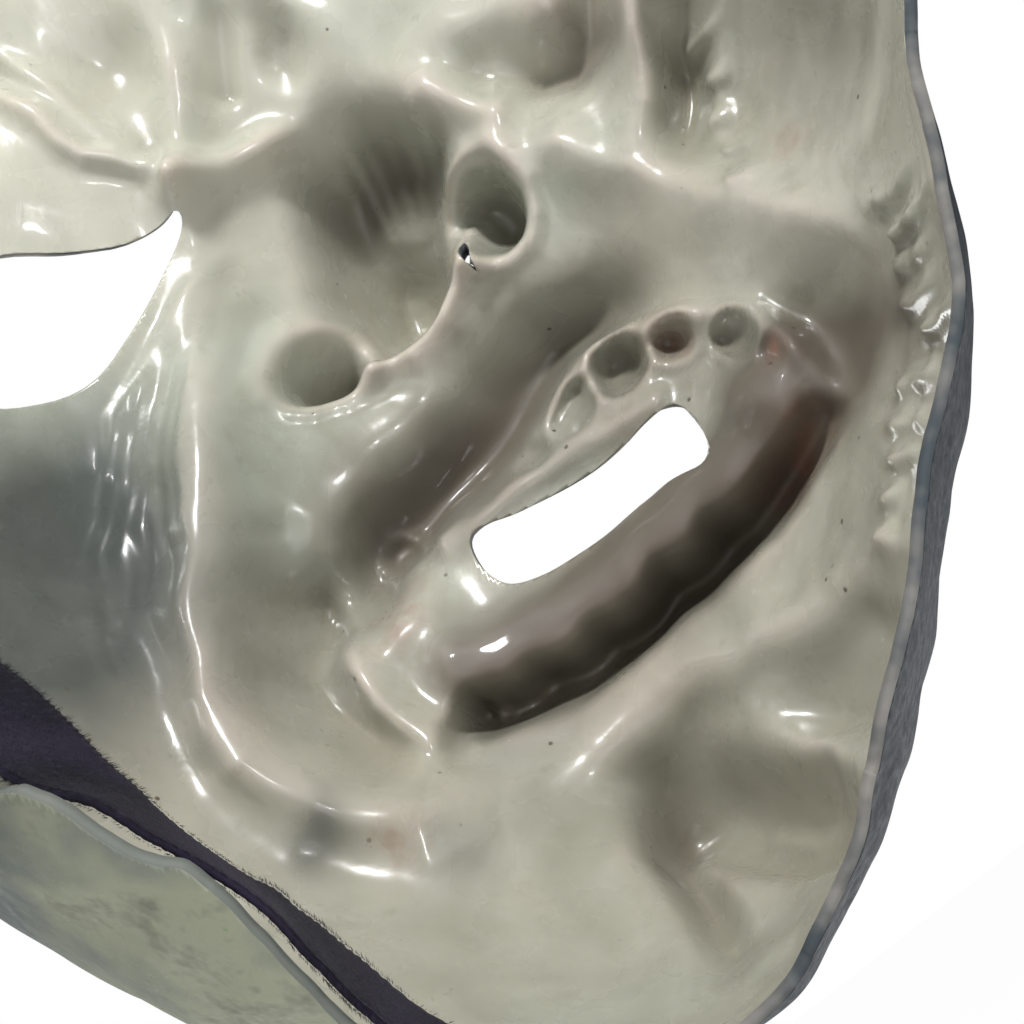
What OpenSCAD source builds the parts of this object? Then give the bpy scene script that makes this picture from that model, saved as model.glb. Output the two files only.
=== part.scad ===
// Latex halloween mask worn with a swinging head strap.
// +Z is up, the face looks along -Y, and +X is the wearer's left.
// The origin is on the eye line, in the middle of the opening for the head.

/* [Mask shell] */
// Half of the inside width at the cheekbones
half_width = 84; // [82:1:88]
// Depth of the bare bowl, from its widest section to the front
bowl_depth = 74; // [70:1:78]
// Height of the bowl above its centre
upper_height = 130; // [124:1:134]
// Height of the bowl below its centre
lower_height = 130; // [124:1:134]
// Thickness of the latex
latex_t = 1.6; // [1.2:0.1:2]
// How far the jaw sits off centre, towards the wearer's left
jaw_shift = 12; // [6:1:14]
// How far the left jaw curls in past the other walls, in degrees
flap_curl = 29; // [14:1:30]
// How far the chin is raised on the wearer's right
chin_rise = 6; // [3:0.5:7]

/* [Head strap] */
// Width of the webbing
strap_w = 13; // [11:0.5:13]
// Thickness of the webbing
strap_t = 1.2; // [1:0.1:1.2]
// Length of the sewn hook patch
hook_l = 38; // [25:1:40]
// Width of the sewn hook patch
hook_w = 11; // [9:1:12]
// Thickness of the sewn hook patch
hook_t = 1.4; // [1:0.1:1.8]

/* [Rivets] */
// Radius of each rivet's post
post_r = 2; // [1.6:0.1:2.2]
// Radius of each rivet's head and cap
head_r = 5; // [4.5:0.1:5.5]
// Height of each domed head and cap
dome_h = 2.2; // [1.8:0.1:2.6]
// Radius of the round reinforcing patches
patch_r = 12; // [10:1:12]

/* [Strap ring] */
// Radius of the ring's wire
wire_r = 1.25; // [1.1:0.05:1.4]
// Width of the ring's opening
ring_w = 17.5; // [17:0.5:19]
// Distance between the ring's two long bars
ring_drop = 12; // [11:0.5:15]

/* [Hidden] */

// Where the bowl's centre is, and the rivets on both temples
bowl_z = -30;
rivet_y = 4;
rivet_z = 8;
// The flat pad of the wall round each rivet: inner face, flat radius, radius where it ends
pad_x = 80;
pad_flat_r = 22;
pad_end_r = 34;

// The stack of pieces on each rivet, as distances from the middle plane
patch_t = 0.8;
outer_washer_t = 0.8;
spacer_t = 0.6;
eyelet_lip = 0.2;
side_play = 0.1;
inner_washer_t = 0.6;
bore_play = 0.06;
shell_out_x = pad_x + latex_t;
head_x = shell_out_x + outer_washer_t;
patch_x = pad_x - patch_t;
spacer_x = patch_x - spacer_t;
eyelet_out_x = spacer_x - side_play;
web_out_x = eyelet_out_x - eyelet_lip;
web_x = web_out_x - strap_t / 2;
web_in_x = web_out_x - strap_t;
eyelet_in_x = web_in_x - eyelet_lip;
inner_washer_x = eyelet_in_x - side_play;
cap_x = inner_washer_x - inner_washer_t;
eyelet_barrel_r = post_r + 1.1;
eyelet_lip_r = post_r + 2.6;

// ---- Small functions ----
function smooth(v) = let (t = min(max(v, 0), 1)) t * t * (3 - 2 * t);
function unit(v) = v / norm(v);
function turn_gap(a, b) = let (d = abs(a - b) % 360) min(d, 360 - d);
function bump(gap, width) = exp(-pow(gap / width, 2));

// Point at share t of the curve's span between b and c
function spline(a, b, c, d, t) =
    b + (c - a) * t / 2 + (2 * a - 5 * b + 4 * c - d) * t * t / 2
    + (3 * b - a - 3 * c + d) * t * t * t / 2;

// Smooth closed outline through a list of points
function closed_curve(p, steps) = let (n = len(p)) [
    for (i = [0 : n - 1], s = [0 : steps - 1])
        spline(p[(i + n - 1) % n], p[i], p[(i + 1) % n], p[(i + 2) % n], s / steps)];

// Smooth open path through a list of points
function open_curve(p, steps) = let (n = len(p)) concat([
    for (i = [0 : n - 2], s = [0 : steps - 1])
        spline(p[max(i - 1, 0)], p[i], p[i + 1], p[min(i + 2, n - 1)], s / steps)],
    [p[n - 1]]);

// Distance from q to the segment a-b, and to a chain of segments
function seg_gap(q, a, b) = let (
    ab = b - a,
    t = min(max((q - a) * ab / max(ab * ab, 0.001), 0), 1)) norm(q - a - t * ab);
function chain_gap(q, p) = len(p) == 1 ? norm(q - p[0])
    : min([for (i = [0 : len(p) - 2]) seg_gap(q, p[i], p[i + 1])]);

// ---- The relief of the face ----
// Each entry: points [x, z] of a line, its half width, how square its sides are, and its push.
// A push along -Y is a hollow seen from inside, and along +Y it is a ridge.
RELIEF = [
    // nose and nostril wings
    [[[-3, -8], [-2, -22], [0, -36]], 17, 2, [0, -9, 0]],
    [[[-3, -14], [-2, -22], [-1, -32]], 12, 2.8, [0, -24, 0]],
    [[[17.5, -38]], 6.5, 2, [3, -14, -2]],
    [[[-17.5, -35]], 7.5, 2, [-3, -15, 1]],
    [[[-12, -40], [-3, -46.5], [5, -46.5], [11, -45]], 4.5, 2, [0, 5, 0]],
    // upper lip and gum
    [[[27, -69], [12, -66], [-1, -62], [-13, -59.5], [-25, -61]], 7, 2, [0, -10, 0]],
    [[[-14, -72.5], [-26, -74]], 6.5, 2, [0, -3.5, 0]],
    [[[16, -76], [-4, -78], [-20, -81]], 5.5, 2, [0, 2.5, 0]],
    [[[-34, -88]], 9, 2, [0, 3, 0]],
    // bar below the mouth and the hollow of the lower lip
    [[[27, -93], [12, -96], [0, -97], [-12, -97], [-24, -95], [-38, -92]], 6.5, 2, [0, 3, 0]],
    [[[27, -103], [20, -105], [6, -107.5], [-8, -107.5], [-21, -105], [-30, -102]], 7.5, 2,
        [0, -10, -0.5]],
    // left corner of the mouth, and the folds from the nose to the chin
    [[[31, -81]], 7, 2, [0, 4, 0]],
    [[[36, -72], [39, -83], [38, -94]], 4.5, 2, [0, 2.5, 0]],
    [[[45, -66], [48, -78], [47, -92]], 5, 2, [0, -4, 0]],
    [[[32, -35], [41, -47], [51, -63], [56, -76], [57, -87], [54, -96]], 5.5, 2, [0, 6, 0]],
    [[[-29, -34], [-33, -39], [-40, -52], [-48, -68], [-53, -85], [-52, -96]], 7, 2,
        [0, 5, 0]],
    [[[-34, -55]], 9, 2, [0, -5, 0]],
    [[[-47, -94]], 11, 2, [0, -7, 0]],
    [[[62, -45]], 16, 2, [0, -8, 0]],
    [[[-58, -48]], 13, 2, [0, -6, 0]],
    // ridges between the eyes, brows, lids and forehead
    [[[16, -1], [7, 13]], 5, 2, [0, 3, 0]],
    [[[16, -2], [5, -5], [-9, -9], [-22, -17], [-28, -25]], 5, 2, [0, 6, 0]],
    [[[-14, 10], [-6, 20]], 5, 2, [0, 2.5, 0]],
    [[[36, 34], [52, 30], [62, 23]], 11, 2, [0, -8, 0]],
    [[[-36, 42], [-52, 38], [-62, 31]], 11, 2, [0, -8, 0]],
    [[[-25, 22], [-46, 28], [-58, 24]], 5, 2, [0, 2.5, 0]],
    [[[43, 13]], 13, 2, [0, -6, 0]],
    [[[-43, 22]], 11, 2, [0, -5, 0]],
    [[[-30, 66], [30, 66]], 22, 2, [0, -6, 0]],
    [[[15, 22]], 8, 2, [0, -5, 0]],
    [[[2, 8], [-7, 18]], 5, 2, [0, -3, 0]],
    [[[-8, 5], [-20, 10]], 5, 2, [0, -3, 0]],
    // right cheekbone
    [[[-22, -10], [-32, -13], [-43, -19]], 5, 2, [0, 4.5, 0]],
    [[[-54, -22], [-49, -29], [-40, -27], [-35, -25]], 6.5, 2, [0, -4, 0]],
    [[[-57, -30], [-52, -35], [-45, -41]], 6, 2, [0, 4, 0]],
    // chin
    [[[13, -129]], 22, 2, [0, -18, -2]],
    [[[-42, -109], [-38, -113], [-28, -120], [-8, -122], [19, -123], [30, -126]], 6, 2,
        [0, 4, 0]],
    [[[8, -127]], 8, 2, [0, -6, 0]],
    [[[-16, -132]], 8.5, 2, [0, -6, 0]],
    [[[13, -129], [17, -136], [18, -146]], 5, 2, [0, -5, 0]],
    [[[1, -145]], 8, 2, [0, 6, 0]]
];

// Outlines [x, z] of the eye holes and the mouth
LEFT_EYE = [[20, -6], [32, -4.5], [46, 3.5], [57, 6], [65, 1], [67, -8],
    [60, -18], [48, -22], [38, -18], [28, -12]];
RIGHT_EYE = [for (p = LEFT_EYE) [-p[0] - 4, p[1] + 15]];
MOUTH = [[14.5, -77.5], [16.5, -82], [14.5, -87.5], [8, -90], [-3, -91.5], [-14, -92],
    [-20, -93.5], [-22.5, -90], [-22.5, -83.5], [-19, -82], [-6, -81.5], [6, -79.5]];

// Uneven sides of the jaw, as shares of the half width, and the extra curl of the flap's lip
left_taper = 0.045;
right_taper = 0.13;
cheek_bulge = 0.03;
jaw_bulge = 0.11;
flap_lip = 10;

// How far round the bowl the rim is, in degrees from the front, at angle a about the face
function rim_angle(a) = 104 - 18 * pow(max(sin(a), 0), 2) - 6 * pow(max(-sin(a), 0), 2)
    + flap_curl * bump(turn_gap(a, -42), 15) + flap_lip * bump(turn_gap(a, -54), 5)
    - 9 * bump(turn_gap(a, 196), 16) + 6 * bump(turn_gap(a, 243), 14)
    - 4 * bump(turn_gap(a, 275), 14);

// The bare bowl: a is the angle about the face, t the angle away from its front
function bowl(a, t) = let (
    z = bowl_z + (sin(a) > 0 ? upper_height : lower_height) * sin(t) * sin(a),
    width = half_width * sin(t) * cos(a),
    jaw = smooth((-55 - z) / 60),
    side = width > 0 ? 1 - left_taper * jaw
        : 1 + cheek_bulge * bump(z + 52, 40) + jaw_bulge * bump(z + 103, 18) - right_taper * jaw,
    x = width * side + jaw_shift * smooth((-50 - z) / 50),
    rise = chin_rise * smooth((-105 - z) / 45) * smooth((30 - x) / 46))
    [x, -bowl_depth * cos(t), z + rise];

// The relief dies out before the walls turn back
function with_relief(p) = let (fade = smooth((-6 - p[1]) / 22), q = [p[0], p[2]])
    fade == 0 ? p
    : p + fade * rows_sum([for (r = RELIEF)
        r[3] * exp(-pow(chain_gap(q, r[0]) / r[1], r[2]))]);
function rows_sum(v) = [for (k = [0 : 2]) [for (r = v) r[k]] * [for (r = v) 1]];

// Both temples are pressed flat round their rivets
function with_pads(p) = let (
    gap = norm([p[1] - rivet_y, p[2] - rivet_z]),
    share = abs(p[0]) < half_width / 2 ? 0 : smooth((pad_end_r - gap) / (pad_end_r - pad_flat_r)))
    [p[0] + share * (sign(p[0]) * pad_x - p[0]), p[1], p[2]];

function inner_point(a, t) = with_pads(with_relief(bowl(a, t)));

// Rings are closer together over the middle of the face than on the walls
RINGS = 34;
SECTORS = 86;
function ring_share(s) = 0.8 * s + 0.2 * pow(s, 3);
module latex_shell() {
    angle = [for (j = [0 : SECTORS - 1]) 360 * j / SECTORS];
    grid = [for (i = [0 : RINGS]) [for (j = [0 : SECTORS - 1])
        inner_point(angle[j], rim_angle(angle[j]) * ring_share(max(i, 0.02) / RINGS))]];
    out = [for (i = [0 : RINGS]) [for (j = [0 : SECTORS - 1]) let (
        along = grid[min(i + 1, RINGS)][j] - grid[max(i - 1, 0)][j],
        round = grid[i][(j + 1) % SECTORS] - grid[i][(j + SECTORS - 1) % SECTORS])
        grid[i][j] + latex_t * unit(cross(along, round))]];
    front_in = inner_point(0, 0);
    front_out = front_in + [0, -latex_t, 0];
    count = RINGS * SECTORS;
    points = concat(
        [for (i = [1 : RINGS], j = [0 : SECTORS - 1]) grid[i][j]],
        [for (i = [1 : RINGS], j = [0 : SECTORS - 1]) out[i][j]],
        [front_in, front_out]);
    faces = concat(
        [for (j = [0 : SECTORS - 1]) let (k = (j + 1) % SECTORS) [2 * count, k, j]],
        [for (j = [0 : SECTORS - 1]) let (k = (j + 1) % SECTORS)
            [2 * count + 1, count + j, count + k]],
        [for (i = [0 : RINGS - 2], j = [0 : SECTORS - 1], h = [0, 1]) let (
            k = (j + 1) % SECTORS, a = i * SECTORS + j, b = i * SECTORS + k,
            c = a + SECTORS, d = b + SECTORS) h == 0 ? [a, b, d] : [a, d, c]],
        [for (i = [0 : RINGS - 2], j = [0 : SECTORS - 1], h = [0, 1]) let (
            k = (j + 1) % SECTORS, a = count + i * SECTORS + j, b = count + i * SECTORS + k,
            c = a + SECTORS, d = b + SECTORS) h == 0 ? [a, d, b] : [a, c, d]],
        [for (j = [0 : SECTORS - 1], h = [0, 1]) let (
            k = (j + 1) % SECTORS, a = count - SECTORS + j, b = count - SECTORS + k)
            h == 0 ? [a, b, count + b] : [a, count + b, count + a]]);
    color([0.60, 0.60, 0.52]) difference() {
        polyhedron(points, faces, convexity = 8);
        for (outline = [LEFT_EYE, RIGHT_EYE, MOUTH])
            rotate([90, 0, 0]) linear_extrude(bowl_depth * 2) polygon(closed_curve(outline, 3));
        for (side = [-1, 1]) on_rivet(side, pad_x - 4, 10) circle(post_r + bore_play, $fn = 48);
    }
}

// ---- Pieces on the rivets; side is 1 on the wearer's left and -1 on the right ----
// Extrudes a round outline along the rivet's axis, outwards from distance x
module on_rivet(side, x, length) {
    mirror([side < 0 ? 1 : 0, 0, 0]) translate([x, rivet_y, rivet_z])
        rotate([0, 90, 0]) linear_extrude(length) children();
}

module washer(side, x, thickness, r_out) {
    on_rivet(side, x, thickness) difference() {
        circle(r_out, $fn = 64);
        circle(post_r + bore_play, $fn = 48);
    }
}

// A low dome with a short straight edge
module dome(r, h) {
    edge = 0.5;
    rise = h - edge;
    ball = (r * r + rise * rise) / (2 * rise);
    intersection() {
        cylinder(h, r, r, $fn = 64);
        translate([0, 0, h - ball]) sphere(ball, $fn = 96);
    }
}

module rivet(side) {
    color([0.72, 0.62, 0.38]) mirror([side < 0 ? 1 : 0, 0, 0])
        translate([head_x, rivet_y, rivet_z]) rotate([0, 90, 0]) {
            dome(head_r, dome_h);
            translate([0, 0, cap_x - 1.4 - head_x])
                cylinder(head_x - cap_x + 1.4, post_r, post_r, $fn = 48);
        }
}

module rivet_cap(side) {
    color([0.72, 0.62, 0.38]) mirror([side < 0 ? 1 : 0, 0, 0])
        translate([cap_x, rivet_y, rivet_z]) rotate([0, -90, 0]) difference() {
            dome(head_r, dome_h);
            translate([0, 0, -1]) cylinder(2.4, post_r, post_r, $fn = 48);
        }
}

module patch(side) {
    color([0.78, 0.75, 0.66]) washer(side, patch_x, patch_t, patch_r);
}

module eyelet(side) {
    color([0.72, 0.62, 0.38]) difference() {
        union() {
            on_rivet(side, eyelet_in_x, eyelet_out_x - eyelet_in_x) circle(eyelet_barrel_r, $fn = 64);
            on_rivet(side, web_out_x, eyelet_lip) circle(eyelet_lip_r, $fn = 64);
            on_rivet(side, eyelet_in_x, eyelet_lip) circle(eyelet_lip_r, $fn = 64);
        }
        on_rivet(side, eyelet_in_x - 1, 5) circle(post_r + bore_play, $fn = 48);
    }
}

// ---- Head strap: hangs from the left rivet, inboard of the curled jaw ----
// Middle line of the webbing below its rivet, as [x, y, z, turn]. The turn is how far the
// webbing has twisted from lying flat on the temple, in degrees.
STRAP_PATH = [[web_x, 4, -10, 0], [76, 6, -28, 4], [73, 12, -48, 14], [68.5, 20, -66, 28],
    [64, 28.5, -80, 36], [59.5, 35.5, -92, 22], [55.5, 38, -99, 6], [53.6, 37, -105, 0],
    [51.6, 35.3, -111, -4], [50, 32.6, -117, -4], [49.7, 28.3, -122.5, -2],
    [49.4, 22.5, -129, 2], [48.4, 18, -135.5, 5], [46, 18.5, -141, 9], [43.5, 21, -146.5, 14],
    [41.5, 23, -152.5, 25], [40, 24.5, -160, 40], [38, 25, -175, 62], [37.5, 25.5, -184, 68],
    [37.5, 25.5, -191, 68], [37.5, 25.5, -236, 68]];
strap_end = STRAP_PATH[len(STRAP_PATH) - 1];
function strap_across(turn) = [sin(turn), cos(turn), 0];
function strap_half(z) = let (up = z - rivet_z, r = strap_w / 2)
    up > 0 ? max(sqrt(max(r * r - up * up, 0)), 1) : r;

module head_strap() {
    line = concat(
        [for (s = [0 : 5]) [web_x, rivet_y, rivet_z + strap_w / 2 * cos(18 * s), 0]],
        open_curve(STRAP_PATH, 4));
    n = len(line);
    at = [for (q = line) [q[0], q[1], q[2]]];
    points = [for (i = [0 : n - 1]) let (
        along = unit(at[min(i + 1, n - 1)] - at[max(i - 1, 0)]),
        flat_across = strap_across(line[i][3]),
        across = unit(flat_across - (flat_across * along) * along),
        flat = cross(along, across) * strap_t / 2,
        half = across * strap_half(line[i][2]))
        each [at[i] - half - flat, at[i] + half - flat, at[i] + half + flat, at[i] - half + flat]];
    faces = concat([[0, 1, 2, 3], [for (k = [3 : -1 : 0]) 4 * (n - 1) + k]],
        [for (i = [0 : n - 2], k = [0 : 3], h = [0, 1]) let (
            a = 4 * i + k, b = 4 * i + (k + 1) % 4, c = a + 4, d = b + 4)
            h == 0 ? [a, c, d] : [a, d, b]]);
    color([0.20, 0.18, 0.26]) difference() {
        polyhedron(points, faces, convexity = 6);
        on_rivet(1, web_in_x - 1, strap_t + 2) circle(eyelet_barrel_r, $fn = 64);
    }
}

// Frame at the free end: Z up the strap from its end, X across it, Y towards the wearer
module at_strap_end() {
    translate([strap_end[0], strap_end[1], strap_end[2]])
        rotate([0, 0, 90 - strap_end[3]]) children();
}

end_gap = 5;
module strap_hook_patch() {
    color([0.13, 0.12, 0.15]) at_strap_end()
        translate([-hook_w / 2, strap_t / 2, end_gap]) cube([hook_w, hook_t, hook_l]);
}

// One row of stitches up each side of the hook patch, and one across each end
stitch_l = 2;
stitch_t = 0.35;
stitch_w = 0.6;
stitch_inset = 1.3;
module strap_stitching() {
    up_count = floor((hook_l - 2 * stitch_inset) / (stitch_l * 1.6));
    across_count = floor((hook_w - 2 * stitch_inset) / (stitch_l * 1.6));
    color([0.35, 0.33, 0.40]) at_strap_end()
        translate([0, strap_t / 2 + hook_t, end_gap]) {
            for (side = [-1, 1], i = [0 : up_count - 1])
                translate([side * (hook_w / 2 - stitch_inset) - stitch_w / 2, 0,
                    stitch_inset + stitch_l * (0.8 + 1.6 * i)])
                    cube([stitch_w, stitch_t, stitch_l]);
            for (up = [stitch_inset, hook_l - stitch_inset], i = [0 : across_count - 1])
                translate([stitch_l * 1.6 * (i - (across_count - 1) / 2) - stitch_l / 2, 0,
                    up - stitch_w / 2])
                    cube([stitch_l, stitch_t, stitch_w]);
        }
}

// ---- Ring tab: webbing folded through the ring on the right temple ----
fold_play = 0.06;
fold_in_r = wire_r + fold_play;
fold_out_r = fold_in_r + strap_t;
bar_z = rivet_z - 30;
// The ring's bar sits behind the webbing's outer leg
bar_x = web_in_x;
tab_sewn_z = bar_z + 7;
tab_top_z = tab_sewn_z + 8;
module ring_tab() {
    color([0.20, 0.18, 0.26]) difference() {
        union() {
            on_rivet(-1, web_in_x, strap_t) circle(strap_w / 2, $fn = 64);
            translate([-web_out_x, rivet_y - strap_w / 2, tab_sewn_z])
                cube([strap_t, strap_w, rivet_z - tab_sewn_z]);
            translate([-web_in_x, rivet_y - strap_w / 2, tab_sewn_z])
                cube([strap_t, strap_w, tab_top_z - tab_sewn_z]);
            translate([0, rivet_y + strap_w / 2, 0]) rotate([90, 0, 0])
                linear_extrude(strap_w) tab_fold();
        }
        on_rivet(-1, web_in_x - 4, strap_t + 8) circle(eyelet_barrel_r, $fn = 64);
    }
}

// Side outline of the fold: both legs spread from the seam to go round the bar
module tab_fold() {
    difference() {
        union() {
            translate([-bar_x, bar_z]) circle(fold_out_r, $fn = 64);
            polygon([[-bar_x - strap_t, tab_sewn_z], [-bar_x + strap_t, tab_sewn_z],
                [-bar_x + fold_out_r, bar_z], [-bar_x - fold_out_r, bar_z]]);
        }
        translate([-bar_x, bar_z]) circle(fold_in_r, $fn = 64);
        polygon([[-bar_x, tab_sewn_z - 1], [-bar_x + fold_in_r * 0.7, bar_z],
            [-bar_x - fold_in_r * 0.7, bar_z]]);
    }
}

module tab_stitching() {
    rows = 4;
    across = 4;
    pitch = strap_w / (across + 1);
    color([0.35, 0.33, 0.40])
        for (r = [0 : rows - 1], c = [0 : across - 1])
            translate([-web_in_x + strap_t, rivet_y + pitch * (c - (across - 1) / 2) - stitch_l / 2,
                tab_sewn_z + 0.8 + 1.9 * r])
                cube([stitch_t, stitch_l, stitch_w]);
}

module strap_ring() {
    corner_r = 3;
    half_y = ring_w / 2 + wire_r;
    color([0.66, 0.67, 0.68]) translate([-bar_x, rivet_y, bar_z]) {
        for (z = [0, -ring_drop]) translate([0, -half_y + corner_r, z])
            rotate([-90, 0, 0]) cylinder(2 * (half_y - corner_r), wire_r, wire_r, $fn = 48);
        for (y = [-half_y, half_y]) translate([0, y, -ring_drop + corner_r])
            cylinder(ring_drop - 2 * corner_r, wire_r, wire_r, $fn = 48);
        for (turn = [0 : 3]) let (
            y = (turn == 0 || turn == 3 ? 1 : -1) * (half_y - corner_r),
            z = turn < 2 ? -corner_r : corner_r - ring_drop)
            translate([0, y, z]) rotate([0, 90, 0]) rotate([0, 0, 90 + 90 * turn])
                rotate_extrude(angle = 90, $fn = 64) translate([corner_r, 0])
                    circle(wire_r, $fn = 48);
    }
}

latex_shell();
patch(1);  // left_patch
patch(-1);  // right_patch
color([0.66, 0.67, 0.68]) washer(1, shell_out_x, outer_washer_t, head_r + 2);  // left_outer_washer
color([0.66, 0.67, 0.68]) washer(-1, shell_out_x, outer_washer_t, head_r + 2);  // right_outer_washer
rivet(1);  // left_rivet
rivet(-1);  // right_rivet
rivet_cap(1);  // left_rivet_cap
rivet_cap(-1);  // right_rivet_cap
color([0.9, 0.9, 0.86]) washer(1, spacer_x, spacer_t, 6);  // left_spacer
color([0.9, 0.9, 0.86]) washer(-1, spacer_x, spacer_t, 6);  // right_spacer
color([0.66, 0.67, 0.68]) washer(1, cap_x, inner_washer_t, head_r + 0.5);  // left_inner_washer
color([0.66, 0.67, 0.68]) washer(-1, cap_x, inner_washer_t, head_r + 0.5);  // right_inner_washer
head_strap();
eyelet(1);  // strap_eyelet
strap_hook_patch();
strap_stitching();
ring_tab();
eyelet(-1);  // tab_eyelet
tab_stitching();
strap_ring();
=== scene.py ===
"""A latex halloween mask seen from inside, with its webbing head strap and riveted fittings."""
import math
import bpy
import numpy as np
from mathutils import Matrix, Vector


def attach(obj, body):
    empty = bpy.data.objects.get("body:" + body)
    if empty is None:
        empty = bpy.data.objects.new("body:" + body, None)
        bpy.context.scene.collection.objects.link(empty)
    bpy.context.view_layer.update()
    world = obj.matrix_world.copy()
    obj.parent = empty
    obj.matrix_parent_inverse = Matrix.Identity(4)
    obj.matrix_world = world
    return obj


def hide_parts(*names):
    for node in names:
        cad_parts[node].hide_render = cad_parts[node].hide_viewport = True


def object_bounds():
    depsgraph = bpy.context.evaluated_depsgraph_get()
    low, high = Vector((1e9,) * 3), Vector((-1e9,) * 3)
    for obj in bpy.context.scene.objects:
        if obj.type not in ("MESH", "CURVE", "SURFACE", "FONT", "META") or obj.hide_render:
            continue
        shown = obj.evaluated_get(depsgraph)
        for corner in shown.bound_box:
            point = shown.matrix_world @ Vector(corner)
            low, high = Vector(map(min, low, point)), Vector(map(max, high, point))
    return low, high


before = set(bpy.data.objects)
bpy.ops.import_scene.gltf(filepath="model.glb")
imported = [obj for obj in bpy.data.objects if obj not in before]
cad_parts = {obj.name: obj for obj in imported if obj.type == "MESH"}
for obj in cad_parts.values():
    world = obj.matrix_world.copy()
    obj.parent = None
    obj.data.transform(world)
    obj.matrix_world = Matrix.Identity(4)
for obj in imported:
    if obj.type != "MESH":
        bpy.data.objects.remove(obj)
cad_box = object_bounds()
MM = 0.001
rng = np.random.default_rng(31)

# ---------------------------------------------------------------- small tools


def smooth(v):
    """An eased step from 0 to 1."""
    t = np.clip(v, 0.0, 1.0)
    return t * t * (3.0 - 2.0 * t)


def unit(v):
    return v / np.maximum(np.linalg.norm(v, axis=-1, keepdims=True), 1e-9)


def spline(points, steps, closed=False):
    """A smooth line through the points, with this many steps between two of them."""
    p = np.array(points, float)
    n = len(p)
    out = []
    for i in range(n if closed else n - 1):
        if closed:
            a, b, c, d = (p[(i + k) % n] for k in (-1, 0, 1, 2))
        else:
            a, b, c, d = p[max(i - 1, 0)], p[i], p[i + 1], p[min(i + 2, n - 1)]
        for t in np.arange(steps) / steps:
            out.append(b + (c - a) * t / 2 + (2 * a - 5 * b + 4 * c - d) * t**2 / 2
                       + (3 * b - a - 3 * c + d) * t**3 / 2)
    if not closed:
        out.append(p[-1])
    return np.array(out)


def chain_gap(q, pts):
    """Distance from every q to a chain of points, and the third value of the points there."""
    best = np.full(q.shape[:-1], 1e9)
    amp = np.ones(q.shape[:-1])
    if len(pts) == 1:
        d = np.linalg.norm(q - pts[0][:2], axis=-1)
        return d, np.full(d.shape, pts[0][2])
    for a, b in zip(pts[:-1], pts[1:]):
        ab = b[:2] - a[:2]
        t = np.clip(((q - a[:2]) @ ab) / max(ab @ ab, 1e-6), 0, 1)
        d = np.linalg.norm(q - a[:2] - t[..., None] * ab, axis=-1)
        closer = d < best
        best = np.where(closer, d, best)
        amp = np.where(closer, a[2] + (b[2] - a[2]) * t, amp)
    return best, amp


def waves(p, length, seed, count=24):
    """Smooth seeded noise between about -1 and 1, with this wavelength."""
    r = np.random.default_rng(seed)
    k = unit(r.normal(size=(count, 3))) * (2 * np.pi / length) * r.uniform(0.6, 1.4, (count, 1))
    phase = r.uniform(0, 2 * np.pi, count)
    total = np.zeros(p.shape[:-1])
    for ki, ph in zip(k, phase):
        total += np.sin(p @ ki + ph)
    return total / math.sqrt(count) / 1.4


# ---------------------------------------------------------------- the bowl and its relief, in mm
HALF_WIDTH, DEPTH, HEIGHT = 84.0, 74.0, 130.0
BOWL_Z = -30.0
JAW_SHIFT = 12.0
LEFT_TAPER, RIGHT_TAPER, CHEEK_BULGE, JAW_BULGE = 0.045, 0.13, 0.03, 0.11
CHIN_RISE = 6.0
FLAP_CURL, FLAP_LIP = 29.0, 10.0
LATEX_T = 1.6
OPENING_ROUND_RIVET = 2.3
OFFSET_BLUR = 9  # passes that even out the direction of the wall's thickness
FINE_REACH, BROAD_REACH = 14, 170  # passes that tell small and large hollows apart
RIVET_Y, RIVET_Z = 4.0, 8.0
PAD_X, PAD_FLAT_R, PAD_END_R = 80.0, 17.0, 34.0


def line(points, width, push, square=2.0, side=""):
    """One piece of relief: points (x, z[, strength]), half width, push in mm, how square it is."""
    pts = np.array([(p + (1.0,))[:3] for p in points], float)
    return {"pts": pts, "width": width, "push": np.array(push, float), "square": square,
            "side": side}


def spot(x, z, radius, push, square=2.0):
    """A round piece of relief."""
    return line([(x, z)], radius, push, square)


def swell(points, width, height, square=2.0, side=""):
    """Relief that stands up from the bowl's own surface, or sinks into it."""
    return dict(line(points, width, (0, 0, 0), square, side), height=height)


def ring(x, z, radius, width, push, side=""):
    """Relief round a full circle."""
    turns = np.radians(np.linspace(0, 360, 14))
    return line([(x + radius * math.cos(t), z + radius * math.sin(t)) for t in turns],
                width, push, 2.0, side)


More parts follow.
